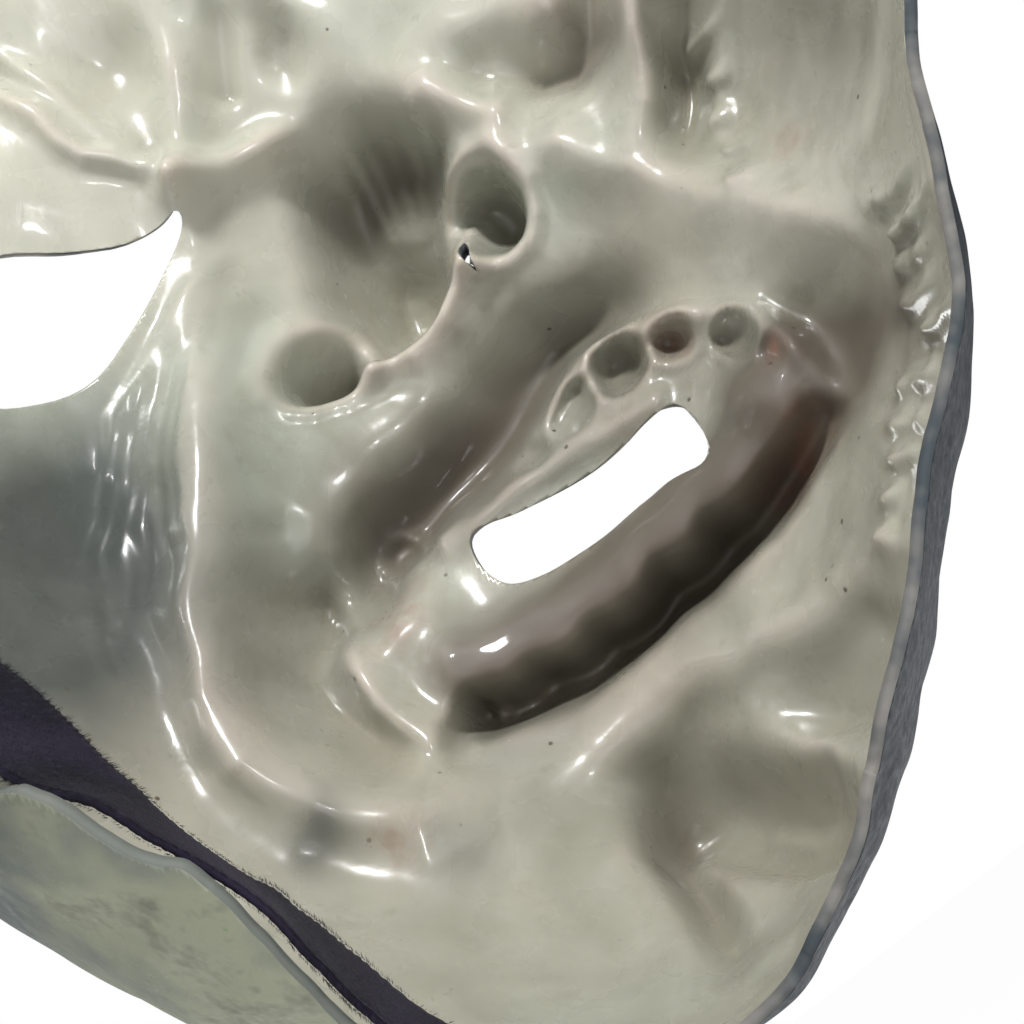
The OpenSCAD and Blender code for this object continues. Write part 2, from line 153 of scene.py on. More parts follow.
# Seen from inside, a push along -Y is a hollow and a push along +Y a ridge.
# side "in" marks what is only on the inner face, and "out" what is only on the painted face.
RELIEF = [
    # nose and nostril wings
    line([(2, -14, 0.8), (5, -24), (6, -34)], 17.0, (0, -11, 0)),
    line([(-7, -17, 0.9), (-3, -24), (0, -31, 0.9)], 11.6, (0, -21, 0), 4.4),
    line([(0, -33), (3, -39, 0.8)], 7.5, (0, -9, 0), 3),
    spot(17.5, -38.5, 4.8, (3, -14, -2), 3.2),
    spot(-17.5, -36, 6.2, (-3, -16, 1), 3.4),
    line([(-13, -35.5), (-10.5, -42), (-3, -46.5), (5, -46.5), (11, -44.5)], 3.4, (0, 6, 0)),
    # upper lip
    line([(38, -73, 0.9), (27, -69.5), (12, -66), (-1, -62), (-13, -59.5), (-25, -61, 0.7)],
         7.0, (0, -17, 0)),
    line([(-1, -68, 0.6), (-14, -65.5), (-25, -67), (-33, -73), (-40, -81), (-41, -88, 0.6)],
         2.8, (0, 4, 0)),
    line([(18, -75.5), (-4, -78), (-20, -81)], 2.8, (0, 3.5, 0)),
    # upper teeth
    line([(-6.5, -72.5, 0.8), (-11, -71)], 3.0, (0, -4, 1), 3),
    spot(-19.5, -71.5, 4.6, (0, -8.5, 1), 4),
    spot(-28, -74.5, 2.7, (0, -5, 1), 3),
    spot(-35.5, -81.5, 3.4, (0, -2.5, 0), 4),
    spot(-37.5, -88, 2.2, (0, -2.0, 0), 4),
    spot(1, -73, 3.0, (0, -2.5, 0), 3),
    # gum edge and the bar below the mouth
    spot(-34, -90, 7.0, (0, 5, 0), 3),
    line([(-39, -85, 0.8), (-42, -92), (-41, -99, 0.7)], 3.0, (0, 3.5, 0)),
    line([(27, -93.5), (12, -96.8), (0, -97.8), (-12, -97.6), (-24, -95.6), (-38, -92)], 5.4,
         (0, 3.8, 0), 3.0),
    # lower teeth
    spot(18, -101.5, 2.8, (0, -2.2, 0.9), 2.2),
    spot(8, -102.5, 2.8, (0, -2.2, 0.9), 2.2),
    spot(-5, -103, 3.2, (0, -2.2, 0.9), 2.2),
    spot(-16, -102, 3.0, (0, -2.2, 0.9), 2.2),
    # lower lip
    line([(29, -101, 0.8), (26, -101.5), (20, -103), (6, -105.5), (-8, -106), (-20, -104.5),
          (-29, -102, 0.8), (-37, -100, 0.3)], 2.9, (0, -14, 0), 2.8),
    line([(30, -99, 0.8), (33, -101), (36, -104.5, 0.3)], 1.8, (0, -7, 0)),
    # left corner of the mouth
    spot(31, -81, 7, (0, 4, 0)),
    line([(33, -66, 0.5), (38, -75), (39.5, -83), (39, -91), (37, -100, 0.5)], 2.9, (0, 4.6, 0)),
    line([(41, -58, 0.5), (46, -70), (48, -84), (45, -98, 0.6)], 5.0, (0, -8.5, 0)),
    # folds from the nose to the chin
    line([(26, -24, 0.3), (33, -36, 0.8), (41, -47), (51, -63), (56, -76), (57, -87),
          (53, -99, 0.8), (44, -110, 0.5), (34, -114, 0.2)], 6.4, (0, 11, 0)),
    line([(-27, -33, 0.6), (-33, -39), (-40, -52), (-48, -68), (-53, -85), (-52, -100, 0.5)],
         5.4, (0, 6, 0), 1.6),
    spot(-34, -55, 9, (0, -1.5, 0)),
    spot(-46, -92, 12, (0, -10, 0)),
    # cheeks
    spot(62, -45, 16, (0, -8, 0)),
    spot(-58, -48, 13, (0, -6, 0)),
    # ridges that meet at the inner corner of the left eye
    line([(16, -1), (7, 13, 0.8), (4, 34, 0.3)], 4.0, (0, 4, 0)),
    line([(16, -2), (5, -5), (-9, -9), (-22, -17), (-29, -27, 0.7)], 4.2, (0, 7, 0)),
    line([(16, -1), (22, -12, 0.8), (32, -24, 0.4)], 3.4, (0, 3, 0)),
    line([(-16, 8), (-6, 20, 0.8), (-3, 36, 0.3)], 3.6, (0, 3, 0)),
    # brows and lids
    line([(36, 34), (52, 30), (66, 20, 0.6)], 11, (0, -8, 0)),
    line([(-36, 42), (-52, 38), (-66, 28, 0.6)], 11, (0, -8, 0)),
    line([(19, 5), (26, 11), (31.5, 26), (36, 40, 0.4)], 2.2, (0, 3.6, 0)),
    line([(21, 10, 0.6), (26, 27), (28, 36, 0.5)], 1.8, (0, 2.2, 0)),
    line([(-22, 20), (-31, 26), (-46, 28), (-62, 22, 0.5)], 2.6, (0, 3.6, 0)),
    spot(43, 13, 13, (0, 2, 0)),
    spot(-43, 22, 11, (0, -5, 0)),
    # forehead
    line([(-30, 66), (30, 66)], 22, (0, -6, 0)),
    spot(15, 22, 8, (0, -5, 0)),
    line([(2, 8), (-7, 18), (-9, 38, 0.4)], 3.6, (0, -4, 0)),
    line([(-8, 5), (-20, 10), (-24, 30, 0.4)], 4.0, (0, -4, 0)),
    # the right cheekbone
    line([(-20, -10, 0.6), (-32, -13), (-45, -20, 0.8)], 5.0, (0, 5, 0)),
    line([(-57, -17, 0.8), (-52, -22.5), (-48, -27), (-43, -28), (-38, -26), (-33, -22, 0.3)],
         4.8, (0, -8, 0)),
    line([(-60, -26, 0.7), (-53, -34), (-46, -44, 0.8), (-41, -50, 0.2)], 3.8, (0, 8, 0)),
    line([(-62, -34, 0.6), (-55, -42, 0.9), (-48, -51, 0.4)], 3.6, (0, -7, 0)),
    line([(-64, -40, 0.5), (-57, -48, 0.8), (-50, -57, 0.3)], 3.0, (0, 4, 0)),
    # chin
    spot(11, -132, 21, (0, -13, -2)),
    line([(-48, -103, 0.5), (-38, -114), (-29, -121), (-18, -120.5), (-7, -118.5), (5, -115.5),
          (17, -114.5), (28, -117, 0.5)], 5.4, (0, 5, 0)),
    swell([(9.5, -131, 0.9), (7, -135), (1, -141, 0.9)], 7.0, -9.5, 3.2),
    swell([(5, -136, 0.5), (2, -140), (-4, -142, 0.5)], 1.5, 1.3),
    swell([(-20, -127, 0.8), (-13, -131)], 6.5, -6.5, 2.6),
    swell([(14, -123, 0.7), (16, -128), (18.5, -134), (18.3, -149, 0.6)], 3.0, -5.5),
    swell([(21, -122, 0.5), (25, -132), (25, -148, 0.6)], 4.5, 3.0),
    swell([(-3, -128, 0.6), (-7, -136), (-8, -142, 0.6)], 3.5, 2.5),
    spot(34, -127, 10, (0, 3, 0)),
]
# Small folds and beads of the inner face
RELIEF += [
    line([(-13, -36), (-11, -42), (-4, -46), (5, -46.3), (10, -44.5)], 1.5, (0, 1.8, 0),
         side="in"),
    line([(24, -75.5, 0.6), (14, -74), (6, -73.5, 0.5)], 1.0, (0, 1.2, 0), side="in"),
    line([(23, -71.5, 0.5), (13, -70.5), (5, -71, 0.5)], 1.0, (0, 1.0, 0), side="in"),
    ring(-9, -72, 5.2, 1.4, (0, 0.9, 0), side="in"),
    ring(-19.5, -71.5, 5.9, 1.4, (0, 1.5, 0), side="in"),
    ring(-28, -74.5, 4.4, 1.3, (0, 1.2, 0), side="in"),
    ring(-35.5, -81.5, 4.2, 0.9, (0, 1.0, 0), side="in"),
    ring(26, -71, 4.0, 1.1, (0, 1.2, 0), side="in"),
    ring(17.5, -38.5, 7.2, 2.6, (0, 2.6, 0)),
    ring(-17.5, -36, 8.6, 2.6, (0, 3.4, 0)),
]
for k in range(5):  # folds down the upper wall of the nose
    RELIEF.append(line([(-6 - 3.4 * k, -9 - 1.6 * k, 0.4), (-5 - 2.6 * k, -15 - 1.5 * k),
                        (-4 - 2.0 * k, -22 - 1.2 * k, 0.4)], 1.4, (0, 1.9, 0), side="in"))
for k in range(6):  # streaks that run down the left cheek from the eye
    RELIEF.append(line([(19 + 2 * k, -13 - k, 0.5), (28 + 4 * k, -24 - k),
                        (42 + 4.5 * k, -42 - k), (51 + 3.5 * k, -61 - 2 * k, 0.3)],
                       1.2, (0, 0.55, 0), side="in"))
BEAD_ROWS = [((-60, -41), (-50, -65)), ((-61, -86), (-53, -105)), ((-48, -109), (-31, -122))]
for row, (start, end) in enumerate(BEAD_ROWS):  # small uneven beads beside the right rim
    for k in range(5 * row, 5 * row + 5):
        x, z = (a + (b - a) * (k % 5) / 4 + 0.6 * math.sin(4 * k) for a, b in zip(start, end))
        RELIEF.append(swell([(x - 0.9, z - 0.5, 0.8), (x + 0.8, z + 0.6)],
                            1.4 + 0.3 * (k % 3), 2.0 - 0.3 * (k % 2), side="in"))
# Wrinkles of the painted face
RELIEF.append(swell([(84, -88, 0.5), (81, -96), (76, -109), (70, -120, 0.5)], 2.6, 0.8, side="out"))
for k in range(4):
    RELIEF.append(line([(-44, 54 + 9 * k, 0.2), (-20, 50 + 9 * k), (0, 54 + 9 * k, 0.6),
                        (20, 50 + 9 * k), (44, 54 + 9 * k, 0.2)], 1.7, (0, 1.2, 0), side="out"))
for s in (1, -1):
    for k in range(4):
        RELIEF.append(line([(s * (24 + 3 * k), -25 - 5 * k, 0.3), (s * (40 + 2 * k), -29 - 5 * k),
                            (s * (60 + k), -22 - 7 * k, 0.3)], 1.5, (0, 1.1, 0), side="out"))

# How much each point is tinted: painted shade in hollows of the mouth, lips, nose and cheeks; a
# painted shadow of the strap on the edge that curls in; painted light on the floor of the nose;
# teal stains, the big one on the left cheek also painted shade; and rust stains
STAINS_AND_PAINTED_SHADING = {
    # painted shade: the bar under the mouth, the gum, the lip grooves, the top of the nose hollow,
    # the cheek hollows and a chin crease
    "painted_shade": [
        line([(25, -94, 0.7), (0, -97), (-24, -95), (-38, -92)], 7, (1.35, 0, 0)),
        spot(-35, -88, 10, (0.4, 0, 0)),
        line([(27, -103), (6, -107), (-8, -107), (-21, -104), (-34, -97, 0.5)], 5, (0.5, 0, 0)),
        spot(-46, -93, 11, (0.35, 0, 0)),
        line([(36, -67, 0.4), (27, -67), (12, -65), (-1, -61), (-20, -60, 0.6)], 8,
             (0.9, 0, 0)),
        line([(14, -76), (-10, -76), (-24, -78)], 5, (0.35, 0, 0)),
        line([(-14, -22, 0.8), (-10, -17), (1, -16, 0.7)], 5.5, (1.0, 0, 0)),
        spot(25, -56, 9, (0.35, 0, 0)), spot(11, -57, 7, (0.25, 0, 0)),
        spot(-48, -29, 7, (0.6, 0, 0)),
        spot(-50, -97, 8, (0.7, 0, 0)),
        line([(15, -122, 0.7), (18, -130), (19, -140, 0.5)], 4.5, (0.5, 0, 0)),
    ],
    # painted shadow of the strap on the inner face of the edge that curls in
    "rim": [line([(66, -80), (60.5, -92), (55, -103), (51.5, -117), (50.5, -129), (48.5, -138),
                  (44, -148)], 5, (1.2, 0, 0))],
    # painted light on the floor of the nose hollow
    "pale": [line([(4, -27), (5, -36)], 7, (0.3, 0, 0))],
    # teal stains; the big spot on the left cheek is also painted shade
    "teal_stain_and_shade": [
        spot(70, -52, 24, (1.3, 0, 0)), spot(56, -33, 13, (0.5, 0, 0)),
        spot(42, -117, 4, (0.35, 0, 0)), spot(56, -104, 5, (0.4, 0, 0)),
        spot(30, -110, 8, (0.15, 0, 0)), spot(55, -103, 5, (0.4, 0, 0)),
        spot(-26, -72, 20, (0.1, 0, 0)),
    ],
    "rust": [
        spot(31, -81, 4.5, (0.55, 0, 0)), spot(-28, -74.5, 3, (0.5, 0, 0)),
        spot(-13, -82, 3, (0.3, 0, 0)), spot(48, -111, 4, (0.35, 0, 0)),
        spot(-37.5, -88, 2, (0.8, 0, 0)), spot(-58, -66, 3, (0.4, 0, 0)),
        line([(-26, -103, 0.6), (-34, -99)], 3.5, (0.7, 0, 0)),
    ],
}

LEFT_EYE = [(20, -6), (32, -4.5), (46, 3.5), (57, 6), (65, 1), (67, -8), (60, -18), (48, -22),
            (38, -18), (28, -12)]
RIGHT_EYE = [(-x - 4, z + 15) for x, z in LEFT_EYE]
MOUTH = [(14.5, -77.5), (16.5, -82), (14.5, -87.5), (8, -90), (-3, -91.5), (-14, -92),
         (-20, -93.5), (-22.5, -90), (-22.5, -83.5), (-19, -82), (-6, -81.5), (6, -79.5)]
LEFT_NOSTRIL = [(3.5, -44.5), (7, -45.2), (10.5, -44), (8, -43.4)]
RIGHT_NOSTRIL = [(-10.9, -37.5), (-10.4, -41), (-11.1, -44.5), (-11.7, -41)]
HOLES = [LEFT_EYE, RIGHT_EYE, MOUTH, LEFT_NOSTRIL, RIGHT_NOSTRIL]


def rim_angle(a):
    """How far round the bowl the rim is, in degrees, at angle a about the face."""
    def bump(at, width):
        gap = np.abs((a - at + 180) % 360 - 180)
        return np.exp(-((gap / width) ** 2))
    s = np.sin(np.radians(a))
    return (104 - 18 * np.maximum(s, 0) ** 2 - 6 * np.maximum(-s, 0) ** 2
            + FLAP_CURL * bump(-42, 15) + FLAP_LIP * bump(-54, 5)
            - 9 * bump(196, 16) + 6 * bump(243, 14) - 4 * bump(275, 14))


def bowl(u, v):
    """Point of the bare bowl, at u and v mm from its middle along its surface."""
    t = np.maximum(np.hypot(u / HALF_WIDTH, v / HEIGHT), 1e-9)
    pull = np.sin(t) / t
    z = BOWL_Z + v * pull
    x = u * pull
    jaw = smooth((-55 - z) / 60)
    left = 1 - LEFT_TAPER * jaw
    right = (1 + CHEEK_BULGE * np.exp(-(((z + 52) / 40) ** 2))
             + JAW_BULGE * np.exp(-(((z + 103) / 18) ** 2)) - RIGHT_TAPER * jaw)
    x = x * np.where(x > 0, left, right) + JAW_SHIFT * smooth((-50 - z) / 50)
    z = z + CHIN_RISE * smooth((-105 - z) / 45) * smooth((30 - x) / 46)
    return np.stack([x, -DEPTH * np.cos(t), z], -1), t


def with_relief(p, side):
    """The bowl's points with the face's relief, for its inner or its outer side."""
    # the lines of the face wander a little
    q = p[..., [0, 2]] + np.stack([waves(p, 30, 1) * 1.1 + waves(p, 11, 2) * 0.45,
                                   waves(p, 30, 3) * 1.1 + waves(p, 11, 4) * 0.45], -1)
    out = p.copy()
    inward = unit((np.array([0, 0, BOWL_Z]) - p) / np.array([HALF_WIDTH, DEPTH, HEIGHT]) ** 2)
    fade = smooth((-6 - p[..., 1]) / 22)
    fine_fade = smooth((4 - p[..., 1]) / 14)
    uneven = 1 + 0.24 * waves(p, 9, 13)
    for r in RELIEF:
        if r["side"] not in ("", side):
            continue
        low = r["pts"][:, :2].min(0) - 3 * r["width"]
        high = r["pts"][:, :2].max(0) + 3 * r["width"]
        near = ((q > low) & (q < high)).all(-1)
        d, amp = chain_gap(q[near], r["pts"])
        share = amp * np.exp(-((d / r["width"]) ** r["square"]))
        if r["side"] == "in":
            share *= uneven[near]
        if "height" in r:
            out[near] += (share * fine_fade[near] * r["height"])[:, None] * inward[near]
        else:
            share *= (fine_fade if r["side"] else fade)[near]
            out[near] += share[:, None] * r["push"]
    return out


def tint_share(p, kind):
    """How strongly each point takes one kind of tint, from 0 to 1; the kinds are stains, painted
    shade and painted light.
    """
    q = p[..., [0, 2]] + np.stack([waves(p, 14, 11), waves(p, 14, 12)], -1) * 1.6
    total = np.zeros(q.shape[:-1])
    for r in STAINS_AND_PAINTED_SHADING[kind]:
        d, amp = chain_gap(q, r["pts"])
        total += amp * np.exp(-((d / r["width"]) ** r["square"])) * r["push"][0]
    # the painted shadow of the strap lies only on the edge that curls in
    if kind == "rim":  # only on the edge that curls in
        total *= smooth((p[..., 1] - 14) / 10)
    return np.minimum(total, 1.0)


def with_pads(p):
    """Both temples are pressed flat round their rivets."""
    gap = np.hypot(p[..., 1] - RIVET_Y, p[..., 2] - RIVET_Z)
    share = smooth((PAD_END_R - gap) / (PAD_END_R - PAD_FLAT_R))
    share = np.where(np.abs(p[..., 0]) < HALF_WIDTH / 2, 0, share)
    out = p.copy()
    out[..., 0] += share * (np.sign(p[..., 0]) * PAD_X - p[..., 0])
    return out, share


def outline_gap(q, outline):
    """Distance from q to a closed outline, negative inside it."""
    c = spline(outline, 6, closed=True)
    nxt = np.roll(c, -1, 0)
    best = np.full(q.shape[:-1], 1e9)
    inside = np.zeros(q.shape[:-1], bool)
    for a, b in zip(c, nxt):
        ab = b - a
        t = np.clip(((q - a) @ ab) / max(ab @ ab, 1e-9), 0, 1)
        best = np.minimum(best, np.linalg.norm(q - a - t[..., None] * ab, axis=-1))
        crosses = (a[1] > q[..., 1]) != (b[1] > q[..., 1])
        dz = b[1] - a[1] if abs(b[1] - a[1]) > 1e-9 else 1e-9
        inside ^= crosses & (q[..., 0] < a[0] + ab[0] * (q[..., 1] - a[1]) / dz)
    return np.where(inside, -best, best)


def blur(f, passes):
    """A grid of values, each drawn towards its neighbours this many times."""
    for _ in range(passes):
        g = np.pad(f, ((1, 1), (1, 1)) + ((0, 0),) * (f.ndim - 2), mode="edge")
        f = (g[:-2, 1:-1] + g[2:, 1:-1] + g[1:-1, :-2] + g[1:-1, 2:] + 2 * f) / 6
    return f


def normals(p):
    """The outward direction at every point of a grid."""
    return unit(np.cross(np.gradient(p, axis=1), np.gradient(p, axis=0)))


# ---------------------------------------------------------------- the latex shell
COLS, ROWS = ((400, 480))
U_REACH, V_REACH = 188.0, 232.0  # how far the grid goes along the bowl, in mm


def spread(n, reach):
    """Grid lines that are close together in the middle of the face and wider at the walls."""
    s = np.linspace(-1, 1, n)
    return reach * (0.62 * s + 0.38 * s**3)


def shell_surfaces():
    """Inner and outer grids, how far inside the edge each point is, and the bare bowl."""
    u, v = np.meshgrid(spread(COLS, U_REACH), spread(ROWS, V_REACH))
    base, t = bowl(u, v)
    angle = np.degrees(np.arctan2(v / HEIGHT, u / HALF_WIDTH))
    rough = waves(base, 34, 5) * 0.9 + waves(base, 13, 6) * 0.3 + waves(base, 5, 7) * 0.05
    base_n = normals(base)
    inner, pad = with_pads(with_relief(base, "in"))
    calm = (1 - pad)[..., None]
    inner = inner + base_n * rough[..., None] * calm
    common, _ = with_pads(with_relief(base, "out"))
    common = common + base_n * rough[..., None] * calm
    smoothest, _ = with_pads(with_relief(base, "none"))
    smoothest = smoothest + base_n * rough[..., None] * calm
    out_n = unit(blur(normals(smoothest), OFFSET_BLUR))
    outer = common + out_n * LATEX_T
    edge = waves(base, 26, 8) * 0.8 + waves(base, 7, 9) * 0.4 + waves(base, 3, 10) * 0.2
    keep = (np.radians(rim_angle(angle)) - t) * 90 + edge * (1 - pad)
    for outline in HOLES:
        keep = np.minimum(keep, outline_gap(base[..., [0, 2]], outline))
    for side in (1, -1):  # the rivets' holes
        bore = np.hypot(base[..., 1] - RIVET_Y, base[..., 2] - RIVET_Z) - OPENING_ROUND_RIVET
        keep = np.minimum(keep, np.where(base[..., 0] * side > 40, bore, 1e9))
    return inner, outer, keep, base


def hollow_of(p, n, reach):
    """Positive on ridges of the side that n points out of, negative in its hollows, in mm."""
    passes = max(round(reach * (COLS / 400) ** 2), 2)
    return ((p - blur(p, passes)) * n).sum(-1)


def build_shell():
    """Both sides of the shell, cut along its rim and openings, and joined there."""
    inner, outer, keep, base = shell_surfaces()
    rows, cols = keep.shape
    n_in = -normals(inner)
    n_out = normals(outer)
    fields = {"relief": (hollow_of(inner, n_in, FINE_REACH),
                         hollow_of(outer, n_out, FINE_REACH)),
              "broad": (hollow_of(inner, n_in, BROAD_REACH),
                        hollow_of(outer, n_out, BROAD_REACH))}
    fields.update({kind: (tint_share(base, kind),) * 2 for kind in STAINS_AND_PAINTED_SHADING})
    count = rows * cols
    verts_in, verts_out = [inner.reshape(-1, 3)], [outer.reshape(-1, 3)]
    grid = {(name, side): fields[name][side].ravel() for name in fields for side in (0, 1)}
    added = {key: [] for key in grid}
    flat = keep.ravel()
    i, j = np.meshgrid(np.arange(rows - 1), np.arange(cols - 1), indexing="ij")
    a = (i * cols + j).ravel()
    quads = np.stack([a, a + 1, a + 1 + cols, a + cols], 1)
    inside = flat[quads] > 0
    full = quads[inside.all(1)]
    mixed = quads[inside.any(1) & ~inside.all(1)]
    edge_points, new_in, new_out = {}, [], []
    vi, vo = verts_in[0], verts_out[0]

    def edge_vertex(p, q):
        key = (min(p, q), max(p, q))
        if key not in edge_points:
            share = flat[key[0]] / (flat[key[0]] - flat[key[1]])
            share = min(max(share, 0.04), 0.96)
            edge_points[key] = count + len(new_in)
            for store, source in ((new_in, vi), (new_out, vo),
                                  *((added[k], grid[k]) for k in grid)):
                store.append(source[key[0]] + share * (source[key[1]] - source[key[0]]))
        return edge_points[key]

    polys, rim_edges = [], []
    for cell in mixed:
        corners, leaving, arriving = [], [], []
        for k in range(4):
            p, q = cell[k], cell[(k + 1) % 4]
            if flat[p] > 0:
                corners.append(p)
            if (flat[p] > 0) != (flat[q] > 0):
                e = edge_vertex(p, q)
                corners.append(e)
                (leaving if flat[p] > 0 else arriving).append(e)
        polys.append(corners)
        if len(leaving) == 1:
            rim_edges.append((leaving[0], arriving[0]))
        else:
            rim_edges += [(leaving[0], arriving[0]), (leaving[1], arriving[1])]
    points_in = np.vstack([vi, np.array(new_in)])
    points_out = np.vstack([vo, np.array(new_out)])
    total = len(points_in)
    # the grid's order looks outwards, so the inner face is turned over
    sheet = [tuple(q) for q in full] + [tuple(q) for q in polys]
    faces = [q[::-1] for q in sheet]
    faces += [tuple(x + total for x in q) for q in sheet]
    faces += [(p, q, q + total, p + total) for p, q in rim_edges]
    mats = [0] * len(sheet) + [1] * len(sheet) + [2] * len(rim_edges)
    points = np.vstack([points_in, points_out]) * MM
    attr = {name: np.concatenate([part for side in (0, 1)
                                  for part in (grid[name, side], added[name, side])])
            for name in fields}
    return points, faces, mats, attr


def mesh_object(name, points, faces, mats=None, attr=None, smooth_shade=True):
    """A mesh object in the row frame, with its unused points left out."""
    used = np.zeros(len(points), bool)
    used[np.concatenate([np.array(f) for f in faces])] = True
    new = np.cumsum(used) - 1
    mesh = bpy.data.meshes.new(name)
    mesh.from_pydata(np.asarray(points)[used].tolist(), [],
                     [[int(new[k]) for k in f] for f in faces])
    if mats is not None:
        mesh.polygons.foreach_set("material_index", mats)
    mesh.polygons.foreach_set("use_smooth", [smooth_shade] * len(mesh.polygons))
    for key, values in (attr or {}).items():
        layer = mesh.attributes.new(key, "FLOAT", "POINT")
        layer.data.foreach_set("value", np.asarray(values, np.float32)[used])
    mesh.update()
    ob = bpy.data.objects.new(name, mesh)
    bpy.context.scene.collection.objects.link(ob)
    return ob


# ---------------------------------------------------------------- the webbing of the strap
STRAP_W, STRAP_T = 13.0, 1.2
WEB_X, STRAP_HOLE = 77.7, 3.4
WEAVE, FINE_PITCH = 1.35, 0.3  # one cord of the weave, and the spacing of the mesh's rows
FIBRES = 22000
STRAP_PATH = [(WEB_X, 4, -10, 0), (76, 6, -28, 4), (73, 12, -48, 14), (68.5, 20, -66, 28),
              (64, 28.5, -80, 36), (59.5, 35.5, -92, 22), (55.5, 38, -99, 6),
              (53.6, 37, -105, 0), (51.6, 35.3, -111, -4), (50, 32.6, -117, -4),
              (49.7, 28.3, -122.5, -2), (49.4, 22.5, -129, 2), (48.4, 18, -135.5, 5),
              (46, 18.5, -141, 9), (43.5, 21, -146.5, 14), (41.5, 23, -152.5, 25),
              (40, 24.5, -160, 40), (38, 25, -175, 62), (37.5, 25.5, -184, 68),
              (37.5, 25.5, -191, 68), (37.5, 25.5, -236, 68)]


def strap_frames(pitch):
    """Middle points of the webbing with its two cross directions, half width and run."""
    tip = RIVET_Z + STRAP_W / 2 - 0.1
    head = [(WEB_X, RIVET_Y, z, 0) for z in np.linspace(tip, -9, 60)]
    route = np.vstack([head, spline(STRAP_PATH, 40)])
    steps = np.linalg.norm(np.diff(route[:, :3], axis=0), axis=1)
    run = np.concatenate([[0], np.cumsum(steps)])
    even = np.arange(0, run[-1], pitch)
    c = np.stack([np.interp(even, run, route[:, k]) for k in range(4)], 1)
    along = unit(np.gradient(c[:, :3], axis=0))
    turn = np.radians(c[:, 3])
    across = np.stack([np.sin(turn), np.cos(turn), 0 * turn], 1)
    across = unit(across - (across * along).sum(1)[:, None] * along)
    up = np.maximum(c[:, 2] - RIVET_Z, 0)
    half = np.sqrt(np.maximum((STRAP_W / 2) ** 2 - up**2, 0.2))
    return c[:, :3], along, across, np.cross(along, across), half, even


def build_strap():
    """Woven webbing: cords that run across it, and a scalloped edge."""
    mid, along, across, flat, half, run = strap_frames(FINE_PITCH)
    columns = 14
    share = np.concatenate([np.linspace(-1, 1, columns), np.linspace(1, -1, columns)])
    face = np.concatenate([np.ones(columns), -np.ones(columns)])
    rib = np.sin(2 * np.pi * run[:, None] / WEAVE + np.pi * (np.arange(2 * columns) % 2)[None])
    scallop = 0.22 * np.abs(np.sin(np.pi * run / WEAVE))
    lift = face * (STRAP_T / 2 * (1 - 0.55 * np.abs(share) ** 8)) + 0.07 * rib * face
    width = share * (half + 0.3 + scallop)[:, None]
    pts = mid[:, None] + across[:, None] * width[..., None] + flat[:, None] * lift[..., None]
    rows, cols = pts.shape[:2]
    index = np.arange(rows * cols).reshape(rows, cols)
    gap = np.hypot(pts[..., 1] - RIVET_Y, pts[..., 2] - RIVET_Z)
    solid = np.where(mid[:, 2][:, None] > -2, gap > STRAP_HOLE, True)
    faces = []
    for i in range(rows - 1):
        for j in range(cols):
            k = (j + 1) % cols
            if solid[i, j] and solid[i, k] and solid[i + 1, j] and solid[i + 1, k]:
                faces.append((index[i, j], index[i, k], index[i + 1, k], index[i + 1, j]))
    faces.append(tuple(index[-1]))
    return pts.reshape(-1, 3) * MM, faces


def build_pile(count):
    """Short fibres that stand on both faces of the webbing and stick out at its edges."""
    mid, along, across, flat, half, _ = strap_frames(FINE_PITCH)
    k = rng.integers(24, len(mid) - 2, count)
    edge = rng.random(count) < 0.45
    side = rng.choice([-1.0, 1.0], count)
    share = np.where(edge, side * rng.uniform(0.94, 1.0, count), rng.uniform(-1, 1, count))
    face = rng.choice([-1.0, 1.0], count)
    root = mid[k] + across[k] * (share * half[k])[:, None] + flat[k] * (face * STRAP_T / 2)[:, None]
    lean = (across[k] * (np.where(edge, side * 1.6, rng.normal(0, 0.7, count)))[:, None]
            + flat[k] * (face * np.where(edge, 0.3, 1.0))[:, None]
            + along[k] * rng.normal(0, 0.5, count)[:, None])
    tip = root + unit(lean) * rng.uniform(0.25, np.where(edge, 1.3, 0.7))[:, None]
    clear = np.hypot(root[:, 1] - RIVET_Y, root[:, 2] - RIVET_Z) > 6.0
    root, tip, wide = root[clear], tip[clear], unit(np.cross(lean, along[k]))[clear] * 0.045
    pts = np.stack([root - wide, root + wide, tip], 1).reshape(-1, 3)
    n = len(root)
    return pts * MM, [(3 * i, 3 * i + 1, 3 * i + 2) for i in range(n)]


HOOK_L, HOOK_W, HOOK_TAPE_T, HOOK_GAP = 38.0, 11.0, 0.55, 5.0


def at_strap_end(p):
    """From the frame of the strap's free end: x across it, y towards the wearer, z up."""
    x0, y0, z0, turn = STRAP_PATH[-1]
    a = math.radians(90 - turn)
    c, s = math.cos(a), math.sin(a)
    return np.stack([x0 + p[:, 0] * c - p[:, 1] * s, y0 + p[:, 0] * s + p[:, 1] * c,
                     z0 + p[:, 2]], 1)


